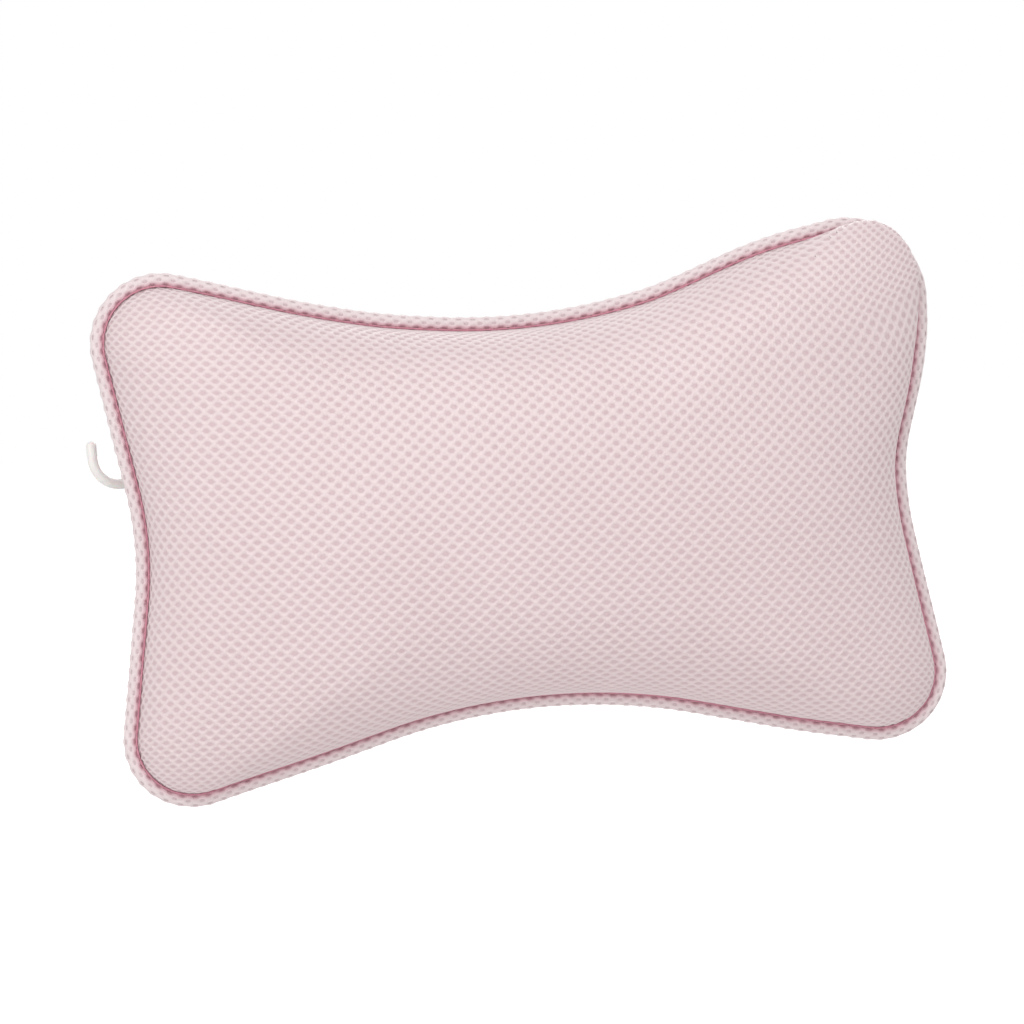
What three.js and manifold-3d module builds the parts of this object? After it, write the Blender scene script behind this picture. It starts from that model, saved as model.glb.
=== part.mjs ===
// Bath pillow: a bow-tie shaped cushion of open air mesh with a corded seam, a hanging hook and four
// suction cups. Millimetres, +Z up. The pillow stands upright as on the end wall of a bath: the side
// for the head faces -Y, and the rims of the suction cups lie in the plane y = 0. The origin is the
// middle of that plane, behind the middle of the pillow.
import * as THREE from 'three';
import { mergeVertices } from 'three/addons/utils/BufferGeometryUtils.js';
import Module from 'manifold-3d';

const wasm = await Module();
wasm.setup();

// Gap that two separate pieces keep where they touch
const clearance = 0.3;
// How far a cutting or joining solid runs past what it cuts or joins
const overrun = 1;

// Outline of the seam: a round lobe at each corner and a concave arc in the middle of each side, joined
// by straight lines that touch both
const seamLength = 300;
const seamHeight = 187.5;
const lobeRadius = 20.7;
const longSideDrawIn = 25.75;
const longSideRadius = 228;
const shortSideDrawIn = 10.1;
const shortSideRadius = 126;

// Steps of the grid that every soft layer shares, for one quarter of the outline
const shortSideSteps = 1;
const lobeSteps = 6;
const longSideSteps = 2;
const straightSteps = 2;
const crownRings = 7;

// Crown of the two panels above the seam, and how square its section is: 2 would be an ellipse
const frontCrown = 48;
const backCrown = 42;
const crownPower = 2.4;
// How far the oval that the inner rings of the crown follow stands past the seam at the middle of each side
const ovalPastShortSide = 12.1;
const ovalPastLongSide = 16;

// Layers, from the outside in
const meshThickness = 4;
const liningThickness = 0.8;

// Piping: a strip of mesh folded over a cord, with its two tails sewn between the panels
const cordRadius = 1.5;
const pipingThickness = 0.8;
const cordSides = 6;
const pipingOuterSteps = 8;
const pipingInnerSteps = 6;

// Webbing of the cup straps and of the hook's loop
const webbingThickness = 1.2;

// Suction cups, and how far their axes stand in from the ends and the long edges of the seam
const cupFromEnd = 72;
const cupFromEdge = 53.75;
const cupRadius = 27;
const cupSides = 24;
const rimWidth = 1.5;
const rimThickness = 1;
const hollowDepth = 7;
const cupWall = 2.2;
const hollowSteps = 4;
const bossRadius = 7.5;
const bossHeight = 2.5;
const neckRadius = 3.2;
const headRadius = 6.5;
const headHeight = 2.6;
const headFlatShare = 0.7;
const tabWidth = 9;
const tabReach = 8;
const tabThickness = 1.2;
const tabLift = 0.4;
const tabSides = 12;

// Straps that hold the cups: sewn to the back panel at both ends, level under the cup
const strapLength = 64;
const strapWidth = 22;
const strapSewn = 8;
const sewnClearance = 0.5;
const strapSteps = 16;
const strapRows = 4;
const eyeletClearance = 0.5;
const eyeletSides = 16;

// Hook: round wire bent to a J, with a flat eye for the webbing loop
const wireRadius = 1.9;
const wireSides = 10;
const wireSteps = 16;
const bendRadius = 10.6;
const tipRise = 4.5;
const shankDrop = 21.2;
const eyeBar = 3;
const eyeChamfer = 0.8;
const eyeSideClearance = 0.5;
const eyeCornerRadius = 2;
const eyeCornerSteps = 3;
// Place of the hook's bar, in from the seam's left end and down from its upper edge, and the turn of the
// hook's plane from the seam's
const hookFromEnd = 14.3;
const hookFromEdge = 39.75;
const hookTurn = THREE.MathUtils.degToRad(20);

// Webbing loop of the hook
const loopWidth = 8;
const loopTail = 10;
const loopNeck = 7;
const tailSteps = 2;
const foldSteps = 10;
const foldClearance = 0.5;
const foldOverwrap = THREE.MathUtils.degToRad(35);
// Step over which the slope of the back is measured
const slopeStep = 0.5;

// Sizes that follow from the ones above
const tailHalf = clearance / 2 + pipingThickness;
const panelEdge = tailHalf + clearance;
const pipingBore = cordRadius + clearance;
const pipingRadius = pipingBore + pipingThickness;
const pipingOffset = Math.sqrt((pipingRadius + clearance) ** 2 - panelEdge ** 2);
const liningDepth = meshThickness + clearance;
const fillingDepth = liningDepth + liningThickness + clearance;
const tailLength = liningDepth + liningThickness;

const cupX = seamLength / 2 - cupFromEnd;
const cupZ = seamHeight / 2 - cupFromEdge;
const hookX = hookFromEnd - seamLength / 2;
const hookZ = seamHeight / 2 - hookFromEdge;

const lobeX = seamLength / 2 - lobeRadius;
const lobeZ = seamHeight / 2 - lobeRadius;
const longWaist = seamHeight / 2 - longSideDrawIn;
const shortWaist = seamLength / 2 - shortSideDrawIn;
const ovalHalfLength = shortWaist + ovalPastShortSide;
const ovalHalfHeight = longWaist + ovalPastLongSide;
const longArcZ = longWaist + longSideRadius;
const shortArcX = shortWaist + shortSideRadius;
// Directions, seen from a lobe's centre, in which the straight lines to the two arcs leave it
const lobeStart = directionOfStraight(shortArcX, 0, shortSideRadius, 1);
const lobeEnd = directionOfStraight(0, longArcZ, longSideRadius, -1);

// Direction, seen from a lobe's centre, of the point where the straight line to an arc touches the
// lobe. side is 1 where that is anticlockwise of the arc's centre.
function directionOfStraight(x, z, radius, side) {
  const apart = Math.hypot(x - lobeX, z - lobeZ);
  return Math.atan2(z - lobeZ, x - lobeX) + side * Math.acos((lobeRadius + radius) / apart);
}

// One quarter of the seam, from the short side's waist up to the long side's, as points with outward
// normals
function quarterOutline() {
  const shortSide = arcMarks(
    shortArcX, 0, shortSideRadius, -1, Math.PI, Math.PI + lobeStart, shortSideSteps);
  const lobe = arcMarks(lobeX, lobeZ, lobeRadius, 1, lobeStart, lobeEnd, lobeSteps);
  const longSide = arcMarks(
    0, longArcZ, longSideRadius, -1, lobeEnd - Math.PI, -Math.PI / 2, longSideSteps);
  return [
    ...shortSide, ...marksBetween(shortSide.at(-1), lobe[0]),
    ...lobe, ...marksBetween(lobe.at(-1), longSide[0]), ...longSide,
  ];
}

// Marks along an arc. facing is 1 where the seam's outward normal points away from the arc's centre.
function arcMarks(x, z, radius, facing, from, to, steps) {
  return Array.from({ length: steps + 1 }, (_, step) => {
    const angle = from + ((to - from) * step) / steps;
    const nx = Math.cos(angle);
    const nz = Math.sin(angle);
    return { x: x + radius * nx, z: z + radius * nz, nx: facing * nx, nz: facing * nz };
  });
}

function marksBetween(first, last) {
  return Array.from({ length: straightSteps - 1 }, (_, step) => {
    const share = (step + 1) / straightSteps;
    return {
      ...first,
      x: THREE.MathUtils.lerp(first.x, last.x, share),
      z: THREE.MathUtils.lerp(first.z, last.z, share),
    };
  });
}

// The whole seam, mirrored from the quarter, as one round of points without a repeat
function wholeOutline() {
  const first = quarterOutline();
  const second = first.slice(0, -1).reverse().map((mark) => mirrored(mark, -1, 1));
  const upper = [...first, ...second];
  const lower = upper.slice(1, -1).reverse().map((mark) => mirrored(mark, 1, -1));
  return [...upper, ...lower];
}

function mirrored(mark, sx, sz) {
  return { x: sx * mark.x, z: sz * mark.z, nx: sx * mark.nx, nz: sz * mark.nz };
}

const outline = wholeOutline();

// Height of the crown over the seam, as a share of its full height, at a share of the way out to the
// seam
function crownShare(out) {
  return Math.sqrt(Math.max(0, 1 - out ** crownPower));
}

// Rings of a panel's face, from its top to its edge: ovals near the top, which turn into the outline of
// the seam towards the edge. side is -1 for the front and 1 for the back.
function faceRings(side, crown) {
  const rings = [[new THREE.Vector3(0, side * (panelEdge + crown), 0)]];
  for (let ring = 1; ring <= crownRings; ring += 1) {
    const out = ring === crownRings ? 1 : Math.sin(((Math.PI / 2) * ring) / crownRings);
    const y = side * (panelEdge + crown * crownShare(out));
    rings.push(outline.map((mark) => {
      const stretch = 1 / Math.hypot(mark.x / ovalHalfLength, mark.z / ovalHalfHeight);
      const oval = new THREE.Vector3(mark.x * stretch, 0, mark.z * stretch);
      return oval.lerp(new THREE.Vector3(mark.x, 0, mark.z), out ** 2).multiplyScalar(out).setY(y);
    }));
  }
  return rings;
}

// Rings of a layer that lies at a depth under a panel's face, measured square to the face
function layerRings(side, crown, depth) {
  const face = faceRings(side, crown);
  return face.map((ring, row) => ring.map((point, at) => {
    const inward = new THREE.Vector3(0, -side, 0);
    if (row === crownRings) {
      inward.set(-outline[at].nx, 0, -outline[at].nz);
    } else if (row > 0) {
      const around = nextOf(ring, at, 1).clone().sub(nextOf(ring, at, -1));
      const outwards = nextOf(face[row + 1], at, 0).clone().sub(nextOf(face[row - 1], at, 0));
      inward.crossVectors(around, outwards).normalize();
      inward.multiplyScalar(-side * Math.sign(inward.y));
    }
    return point.clone().addScaledVector(inward, depth);
  }));
}

function nextOf(ring, at, step) {
  return ring[(at + step + ring.length) % ring.length];
}

// Joins rings of points into one closed skin, each four-sided patch split along its shorter diagonal. A
// ring of one point closes an end; in a loop the last ring meets the first. The skin is turned so that
// it faces out.
function skin(rings, loop = false) {
  const points = rings.flat();
  const positions = points.flatMap((point) => [point.x, point.y, point.z]);
  const starts = [];
  let count = 0;
  for (const ring of rings) {
    starts.push(count);
    count += ring.length;
  }
  const faces = [];
  const pairs = loop ? rings.length : rings.length - 1;
  for (let row = 0; row < pairs; row += 1) {
    const next = (row + 1) % rings.length;
    const a = rings[row].length;
    const b = rings[next].length;
    const around = Math.max(a, b);
    for (let step = 0; step < around; step += 1) {
      const here = starts[row] + (step % a);
      const hereOn = starts[row] + ((step + 1) % a);
      const there = starts[next] + (step % b);
      const thereOn = starts[next] + ((step + 1) % b);
      const straight = points[hereOn].distanceTo(points[there]);
      if (a === 1 || b === 1) {
        faces.push(...(a === 1 ? [hereOn, thereOn, there] : [here, hereOn, there]));
      } else if (straight <= points[here].distanceTo(points[thereOn])) {
        faces.push(here, hereOn, there, hereOn, thereOn, there);
      } else {
        faces.push(here, hereOn, thereOn, here, thereOn, there);
      }
    }
  }
  const geometry = new THREE.BufferGeometry();
  geometry.setAttribute('position', new THREE.Float32BufferAttribute(positions, 3));
  geometry.setIndex(signedVolume(positions, faces) < 0 ? faces.reverse() : faces);
  geometry.computeVertexNormals();
  return geometry;
}

function signedVolume(positions, faces) {
  let volume = 0;
  const corner = (index) => new THREE.Vector3().fromArray(positions, index * 3);
  for (let at = 0; at < faces.length; at += 3) {
    volume += corner(faces[at]).dot(corner(faces[at + 1]).cross(corner(faces[at + 2])));
  }
  return volume;
}

// An open bowl: the outer dome, its edge in the seam and the inner dome
function bowl(side, crown, depth, thickness) {
  const outer = layerRings(side, crown, depth);
  const inner = layerRings(side, crown, depth + thickness);
  return skin([...outer, ...inner.reverse()]);
}

function fillingBody() {
  const front = layerRings(-1, frontCrown, fillingDepth);
  const back = layerRings(1, backCrown, fillingDepth);
  return skin([...front, ...back.reverse()]);
}

// Sweeps a flat section round the seam. Section points are [distance out from the seam, y].
function roundSeam(section) {
  return skin(outline.map((mark) => section.map(([out, y]) => new THREE.Vector3(
    mark.x + out * mark.nx, y, mark.z + out * mark.nz))), true);
}

// Points of a circle round the cord, from one angle to another
function aroundCord(radius, from, to, steps) {
  const points = [];
  for (let step = 0; step <= steps; step += 1) {
    const angle = from + ((to - from) * step) / steps;
    points.push([pipingOffset + radius * Math.cos(angle), radius * Math.sin(angle)]);
  }
  return points;
}

// The strip runs from one tail over the cord to the other tail, and the slit between the tails opens
// its bore
function pipingSection() {
  const outerTurn = Math.PI - Math.asin(tailHalf / pipingRadius);
  const innerTurn = Math.PI - Math.asin(clearance / 2 / pipingBore);
  return [
    [-tailLength, tailHalf],
    ...aroundCord(pipingRadius, outerTurn, -outerTurn, pipingOuterSteps),
    [-tailLength, -tailHalf],
    [-tailLength, -clearance / 2],
    ...aroundCord(pipingBore, -innerTurn, innerTurn, pipingInnerSteps),
    [-tailLength, clearance / 2],
  ];
}

function cordSection() {
  return aroundCord(cordRadius, 0, 2 * Math.PI, cordSides).slice(0, -1);
}

// Solids of the geometry classes are joined and cut as manifolds
function toManifold(geometry) {
  const plain = geometry.clone();
  plain.deleteAttribute('normal');
  plain.deleteAttribute('uv');
  const merged = mergeVertices(plain);
  return new wasm.Manifold(new wasm.Mesh({
    numProp: 3,
    vertProperties: new Float32Array(merged.attributes.position.array),
    triVerts: new Uint32Array(merged.index.array),
  }));
}

function fromManifold(solid) {
  const mesh = solid.getMesh();
  const geometry = new THREE.BufferGeometry();
  geometry.setAttribute('position', new THREE.BufferAttribute(new Float32Array(mesh.vertProperties), 3));
  geometry.setIndex(new THREE.BufferAttribute(new Uint32Array(mesh.triVerts), 1));
  geometry.computeVertexNormals();
  return geometry;
}

// Materials
const airMesh = new THREE.MeshStandardMaterial({ color: 0xe6cfd3, roughness: 0.85, metalness: 0 });
const pipingMesh = new THREE.MeshStandardMaterial({ color: 0xdfc4ca, roughness: 0.85, metalness: 0 });
const cordYarn = new THREE.MeshStandardMaterial({ color: 0xf2f0ee, roughness: 0.9, metalness: 0 });
const liningCloth = new THREE.MeshStandardMaterial({ color: 0xf4eef0, roughness: 0.9, metalness: 0 });
const fibre = new THREE.MeshStandardMaterial({ color: 0xf8f8f6, roughness: 0.95, metalness: 0 });
const webbing = new THREE.MeshStandardMaterial({ color: 0xdcc0c7, roughness: 0.9, metalness: 0 });
const hookPlastic = new THREE.MeshStandardMaterial({ color: 0xe9e5e3, roughness: 0.4, metalness: 0 });
const cupRubber = new THREE.MeshStandardMaterial({ color: 0xe6ecec, roughness: 0.2, metalness: 0 });

function named(name, geometry, material) {
  const mesh = new THREE.Mesh(geometry, material);
  mesh.name = name;
  return mesh;
}

// Facets of the back panel's face, each as its three corners
const backPanel = named('back_panel', bowl(1, backCrown, 0, meshThickness), airMesh);
const backFacets = outerFacets(backPanel.geometry);

function outerFacets(geometry) {
  const spots = geometry.attributes.position;
  const corners = geometry.index.array;
  const facets = [];
  for (let at = 0; at < corners.length; at += 3) {
    const facet = new THREE.Triangle();
    facet.setFromAttributeAndIndices(spots, corners[at], corners[at + 1], corners[at + 2]);
    if (facet.getNormal(new THREE.Vector3()).y > 0) {
      facets.push(facet);
    }
  }
  return facets;
}

// Height of the back panel's face over the seam's plane, at a place on the pillow
function backSurface(x, z) {
  let height = panelEdge;
  for (const { a, b, c } of backFacets) {
    const whole = (b.x - a.x) * (c.z - a.z) - (b.z - a.z) * (c.x - a.x);
    const atB = ((x - a.x) * (c.z - a.z) - (z - a.z) * (c.x - a.x)) / whole;
    const atC = ((b.x - a.x) * (z - a.z) - (b.z - a.z) * (x - a.x)) / whole;
    if (atB >= 0 && atC >= 0 && atB + atC <= 1) {
      height = Math.max(height, a.y + atB * (b.y - a.y) + atC * (c.y - a.y));
    }
  }
  return height;
}

// Level of the strap over the seam's plane: the cup's head lies between the strap and the highest place
// under it
const cupReach = Math.hypot(cupX, cupZ);
const highShare = 1 - headRadius / cupReach;
const strapLevel = backSurface(cupX * highShare, cupZ * highShare) + headHeight + 2 * clearance;
const neckLength = webbingThickness + 2 * clearance;
const cupHeight = hollowDepth + cupWall + bossHeight;
const seamToWall = strapLevel + webbingThickness + clearance + cupHeight;

// A webbing strap along X over the back panel, raised and level for the cup's head, with an eyelet for
// its neck
function strapBody(x, z) {
  const flat = bossRadius + eyeletClearance;
  const rampEnd = strapLength / 2 - strapSewn;
  const strip = new THREE.BoxGeometry(strapLength, webbingThickness, strapWidth, strapSteps, 1, strapRows);
  const spots = strip.attributes.position;
  for (let index = 0; index < spots.count; index += 1) {
    const spotX = x + spots.getX(index);
    const spotZ = z + spots.getZ(index);
    const face = spots.getY(index) > 0 ? webbingThickness : 0;
    const raised = 1 - THREE.MathUtils.smoothstep(Math.abs(spots.getX(index)), flat, rampEnd);
    const seat = backSurface(spotX, spotZ) + sewnClearance;
    spots.setXYZ(index, spotX, THREE.MathUtils.lerp(seat, strapLevel, raised) + face, spotZ);
  }
  const eyelet = new THREE.CylinderGeometry(
    neckRadius + eyeletClearance, neckRadius + eyeletClearance, webbingThickness + 2 * overrun, eyeletSides);
  eyelet.translate(x, strapLevel + webbingThickness / 2, z);
  return fromManifold(toManifold(strip).subtract(toManifold(eyelet)));
}

// Suction cup about its own axis, the rim in the plane y = 0 and the head towards -Y
function cupBody() {
  const hollowRadius = cupRadius - rimWidth;
  const profile = [];
  for (let step = 0; step <= hollowSteps; step += 1) {
    const out = step / hollowSteps;
    profile.push(new THREE.Vector2(out * hollowRadius, -hollowDepth * (1 - out ** 2)));
  }
  const boss = hollowDepth + cupWall;
  const neck = boss + bossHeight;
  const head = neck + neckLength;
  profile.push(new THREE.Vector2(cupRadius, 0));
  profile.push(new THREE.Vector2(cupRadius, -rimThickness));
  profile.push(new THREE.Vector2(bossRadius, -boss));
  profile.push(new THREE.Vector2(bossRadius, -neck));
  profile.push(new THREE.Vector2(neckRadius, -neck));
  profile.push(new THREE.Vector2(neckRadius, -head));
  profile.push(new THREE.Vector2(headRadius, -head));
  profile.push(new THREE.Vector2(headRadius * headFlatShare, -head - headHeight));
  profile.push(new THREE.Vector2(0, -head - headHeight));
  const bell = new THREE.LatheGeometry(profile.reverse(), cupSides);
  return fromManifold(toManifold(bell).add(toManifold(pullTab())));
}

// A tongue at the rim, by which the cup is peeled off the wall
function pullTab() {
  const half = tabWidth / 2;
  const start = cupRadius - rimWidth / 2;
  const tongue = new THREE.Shape();
  tongue.moveTo(-half, start);
  tongue.lineTo(half, start);
  tongue.lineTo(half, cupRadius + tabReach - half);
  tongue.absarc(0, cupRadius + tabReach - half, half, 0, Math.PI);
  const tab = new THREE.ExtrudeGeometry(tongue, {
    depth: tabThickness, bevelEnabled: false, curveSegments: tabSides,
  });
  tab.rotateX(Math.PI / 2);
  tab.translate(0, -tabLift, 0);
  return tab;
}

// Turn of the back panel's face about Z, from the seam's plane, at a height beside the hook
function faceTurn(z) {
  const rise = backSurface(hookX + slopeStep, z) - backSurface(hookX - slopeStep, z);
  return Math.atan(rise / (2 * slopeStep));
}

// The bar stands off the panel by the fold of webbing round it, and by the twist between the panel and
// the hook
const barReach = Math.hypot(eyeBar / 2, eyeBar / 2 - eyeChamfer);
const foldInner = barReach + foldClearance;
const foldOuter = foldInner + webbingThickness;
const barStandoff = clearance + foldOuter + (loopWidth / 2) * Math.tan(faceTurn(hookZ) - hookTurn);
const lowerBarTop = foldOuter + clearance;
const barPlace = new THREE.Vector3(
  hookX - barStandoff * Math.sin(hookTurn),
  backSurface(hookX, hookZ) + barStandoff * Math.cos(hookTurn),
  hookZ);

// Centre line of the hook's wire, from its tip round the bend and up the shank, in the plane of the hook
class HookLine extends THREE.Curve {
  getPoint(share, target = new THREE.Vector3()) {
    const bend = Math.PI * bendRadius;
    const rise = shankDrop - lowerBarTop - eyeBar / 2;
    const along = share * (tipRise + bend + rise);
    if (along < tipRise) {
      return target.set(-2 * bendRadius, 0, -shankDrop + tipRise - along);
    }
    if (along > tipRise + bend) {
      return target.set(0, 0, -shankDrop + along - tipRise - bend);
    }
    const turn = Math.PI + (along - tipRise) / bendRadius;
    return target.set(bendRadius * Math.cos(turn) - bendRadius, 0, bendRadius * Math.sin(turn) - shankDrop);
  }
}

// Hook in its own frame: the bar in the webbing along X through the origin, the J hanging below it
function hookBody() {
  const circle = new THREE.Shape();
  circle.absarc(0, 0, wireRadius, 0, 2 * Math.PI);
  const wire = new THREE.ExtrudeGeometry(circle, {
    steps: wireSteps, curveSegments: wireSides / 2, bevelEnabled: false, extrudePath: new HookLine(),
  });
  const tip = new THREE.SphereGeometry(wireRadius, wireSides, wireSides / 2);
  tip.rotateX(Math.PI / 2);
  tip.translate(-2 * bendRadius, 0, tipRise - shankDrop);
  return fromManifold(toManifold(wire).add(toManifold(tip)).add(toManifold(hookEye())));
}

// The eye is a flat frame with chamfered edges
function hookEye() {
  const innerHalf = loopWidth / 2 + eyeSideClearance;
  const halfWidth = innerHalf + eyeBar;
  const top = eyeBar / 2;
  const bottom = -lowerBarTop - eyeBar;
  const frame = roundedFrame(
    halfWidth - eyeChamfer, top - eyeChamfer, bottom + eyeChamfer, eyeCornerRadius - eyeChamfer);
  const window = new THREE.Path();
  window.moveTo(-innerHalf - eyeChamfer, -top + eyeChamfer);
  window.lineTo(innerHalf + eyeChamfer, -top + eyeChamfer);
  window.lineTo(innerHalf + eyeChamfer, -lowerBarTop - eyeChamfer);
  window.lineTo(-innerHalf - eyeChamfer, -lowerBarTop - eyeChamfer);
  frame.holes.push(window);
  const eye = new THREE.ExtrudeGeometry(frame, {
    depth: eyeBar - 2 * eyeChamfer, bevelEnabled: true, bevelSize: eyeChamfer, bevelThickness: eyeChamfer,
    bevelSegments: 1, curveSegments: eyeCornerSteps,
  });
  eye.rotateX(Math.PI / 2);
  eye.translate(0, eyeBar / 2 - eyeChamfer, 0);
  return eye;
}

function roundedFrame(half, top, bottom, radius) {
  const frame = new THREE.Shape();
  frame.moveTo(-half, bottom + radius);
  frame.absarc(-half + radius, bottom + radius, radius, Math.PI, 1.5 * Math.PI);
  frame.absarc(half - radius, bottom + radius, radius, 1.5 * Math.PI, 2 * Math.PI);
  frame.absarc(half - radius, top - radius, radius, 0, 0.5 * Math.PI);
  frame.absarc(-half + radius, top - radius, radius, 0.5 * Math.PI, Math.PI);
  return frame;
}

// Four corners of the loop's webbing at one place: its middle, the turn of its width about Z, and the
// direction of its thickness
function webbingCorners(middle, turn, thick) {
  const half = new THREE.Vector3(Math.cos(turn), Math.sin(turn), 0).multiplyScalar(loopWidth / 2);
  const ply = thick.clone().multiplyScalar(webbingThickness / 2);
  return [
    middle.clone().add(half).add(ply),
    middle.clone().add(half).sub(ply),
    middle.clone().sub(half).sub(ply),
    middle.clone().sub(half).add(ply),
  ];
}

// One ply of the loop's tail, from its cut end down to the neck. lift is its middle's height over the
// panel.
function tailPly(lift) {
  const rows = [];
  for (let step = 0; step <= tailSteps; step += 1) {
    const z = hookZ + loopNeck + loopTail * (1 - step / tailSteps);
    const turn = faceTurn(z);
    const out = new THREE.Vector3(-Math.sin(turn), Math.cos(turn), 0);
    const middle = new THREE.Vector3(hookX, backSurface(hookX, z), z).addScaledVector(out, lift);
    rows.push(webbingCorners(middle, turn, out));
  }
  return rows;
}

// Webbing folded round the hook's bar, its two plies sewn flat on the back panel above the bar
function loopBody() {
  const inner = tailPly(sewnClearance + webbingThickness / 2);
  const outer = tailPly(sewnClearance + clearance + 1.5 * webbingThickness).reverse().map(turnedOver);
  const away = new THREE.Vector3(-Math.sin(hookTurn), Math.cos(hookTurn), 0);
  const fold = [];
  for (let step = 0; step <= foldSteps; step += 1) {
    const angle = ((Math.PI + foldOverwrap) * step) / foldSteps;
    const thick = new THREE.Vector3(0, 0, Math.sin(angle)).addScaledVector(away, Math.cos(angle));
    const middle = barPlace.clone().addScaledVector(thick, -foldInner - webbingThickness / 2);
    fold.push(webbingCorners(middle, hookTurn, thick));
  }
  const rows = [...inner, ...fold, ...outer];
  return skin([[centre(rows[0])], ...rows, [centre(rows[rows.length - 1])]]);
}

// The outer ply faces the other way along the strip
function turnedOver([a, b, c, d]) {
  return [b, a, d, c];
}

function centre(points) {
  return points.reduce((sum, point) => sum.add(point), new THREE.Vector3()).divideScalar(points.length);
}

const bathPillow = new THREE.Group();
const pillow = new THREE.Group();
pillow.position.y = -seamToWall;
bathPillow.add(pillow);
pillow.add(named('front_panel', bowl(-1, frontCrown, 0, meshThickness), airMesh));
pillow.add(backPanel);
pillow.add(named('piping_cover', roundSeam(pipingSection()), pipingMesh));
pillow.add(named('piping_cord', roundSeam(cordSection()), cordYarn));
pillow.add(named('lining_front', bowl(-1, frontCrown, liningDepth, liningThickness), liningCloth));
pillow.add(named('lining_back', bowl(1, backCrown, liningDepth, liningThickness), liningCloth));
pillow.add(named('fibre_filling', fillingBody(), fibre));

for (const [row, sz] of [['upper', 1], ['lower', -1]]) {
  for (const [side, sx] of [['left', -1], ['right', 1]]) {
    pillow.add(named(`cup_strap_${row}_${side}`, strapBody(sx * cupX, sz * cupZ), webbing));
    const cup = named(`suction_cup_${row}_${side}`, cupBody(), cupRubber);
    cup.position.set(sx * cupX, 0, sz * cupZ);
    cup.rotation.y = sz > 0 ? 0 : Math.PI;
    bathPillow.add(cup);
  }
}

pillow.add(named('hook_loop', loopBody(), webbing));
const hook = named('hook', hookBody(), hookPlastic);
hook.position.copy(barPlace);
hook.rotation.z = hookTurn;
pillow.add(hook);

export default bathPillow;
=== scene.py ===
import math

import bpy
import numpy as np
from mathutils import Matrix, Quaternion, Vector
from mathutils.bvhtree import BVHTree


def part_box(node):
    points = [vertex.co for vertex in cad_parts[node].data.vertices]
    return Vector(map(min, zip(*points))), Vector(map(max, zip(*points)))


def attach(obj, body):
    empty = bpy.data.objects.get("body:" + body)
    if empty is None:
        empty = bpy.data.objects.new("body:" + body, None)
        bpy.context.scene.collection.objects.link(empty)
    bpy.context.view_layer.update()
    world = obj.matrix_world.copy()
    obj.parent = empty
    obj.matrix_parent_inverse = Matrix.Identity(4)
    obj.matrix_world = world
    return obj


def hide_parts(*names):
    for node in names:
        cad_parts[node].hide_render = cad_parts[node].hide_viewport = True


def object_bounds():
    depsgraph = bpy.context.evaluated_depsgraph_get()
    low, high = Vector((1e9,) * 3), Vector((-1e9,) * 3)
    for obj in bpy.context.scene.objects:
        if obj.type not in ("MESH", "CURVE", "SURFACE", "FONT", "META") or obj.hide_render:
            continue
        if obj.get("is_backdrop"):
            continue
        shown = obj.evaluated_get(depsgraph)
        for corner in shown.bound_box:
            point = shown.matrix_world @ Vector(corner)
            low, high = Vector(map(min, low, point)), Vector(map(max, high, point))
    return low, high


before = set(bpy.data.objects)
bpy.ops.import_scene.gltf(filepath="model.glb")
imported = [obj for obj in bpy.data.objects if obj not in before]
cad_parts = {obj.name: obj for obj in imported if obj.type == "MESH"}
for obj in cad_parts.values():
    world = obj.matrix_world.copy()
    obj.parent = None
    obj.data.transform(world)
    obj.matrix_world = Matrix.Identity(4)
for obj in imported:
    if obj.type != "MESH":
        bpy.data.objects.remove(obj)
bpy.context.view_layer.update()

# Sizes in millimetres. They repeat the part's own sizes, in the row frame: +Z up, the head's side at -Y.
MM = 0.001
SEAM_LENGTH, SEAM_HEIGHT = 300.0, 187.5
LOBE_R, LONG_IN, SHORT_IN, LONG_R, SHORT_R = 20.7, 25.75, 10.1, 228.0, 126.0
FRONT_CROWN, BACK_CROWN, CROWN_POWER = 48.0, 42.0, 2.4
OVAL_X, OVAL_Z = 152.0, 84.0
PANEL_EDGE = 1.25
# At the upper right corner the front bulges over the seam, and the side under it stands out
CORNER_BULGE, SIDE_STANDS_OUT = 7.8, 4.5
PIPING_R, PIPING_OUT = 2.6, 2.617
CUP_X, CUP_Z = 78.0, 40.0
STRAP_L, STRAP_W, WEB_T, STRAP_SEWN, STRAP_LEVEL = 64.0, 22.0, 1.2, 8.0, -13.2
EYELET_R, EYELET_STITCHES = 3.7, 26
HOOK_TURN = math.radians(20)
BAR = np.array([-137.28776, -32.80411, 54.0])
HOOK_X = -135.7
WIRE_R, BEND_R, SHANK_DROP, TIP_RISE = 1.9, 10.6, 21.2, 4.5
# The hook rests in a shallow dent of the back at the end of its swing
HOOK_DENT, DENT_Z, DENT_REACH = 1.6, 25.0, 22.0
# Air mesh: half sizes of a hole's outline at three depths, after the depth of the strands' middle line
PITCH_U, PITCH_V = 5.2, 2.3
NET_HOLES, NET_DEPTHS = ((1.76, 1.5), (1.5, 1.22), (1.04, 0.82)), [-0.05, 0.03, 0.15, 0.285]
PIPING_HOLES, PIPING_DEPTHS = ((1.76, 1.35), (1.48, 1.08), (1.0, 0.7)), [0.0, 0.03, 0.12, 0.23]
# Depths of the other layers under a panel's face
GROUND_TOP, GROUND_DROP, GROUND_FOOT = 0.3, 0.07, 3.9
LINING_TOP, LINING_FOOT, FILLING_TOP = 4.35, 4.95, 5.5
# Webbing: its height over the panel, the height of its ribs, and half the level seat of a cup's head
WEB_LIFT, RIB, SEAT_HALF = 0.3, 0.13, 8.0
LOOP_LOW, LOOP_SEWN, LOOP_FOLD = BAR[2] + 7, 10.0, math.radians(215)
SWELL_FRAMES = 20

low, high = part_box("piping_cover")
SEAM_Y = (low.y + high.y) / 2 / MM

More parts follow.
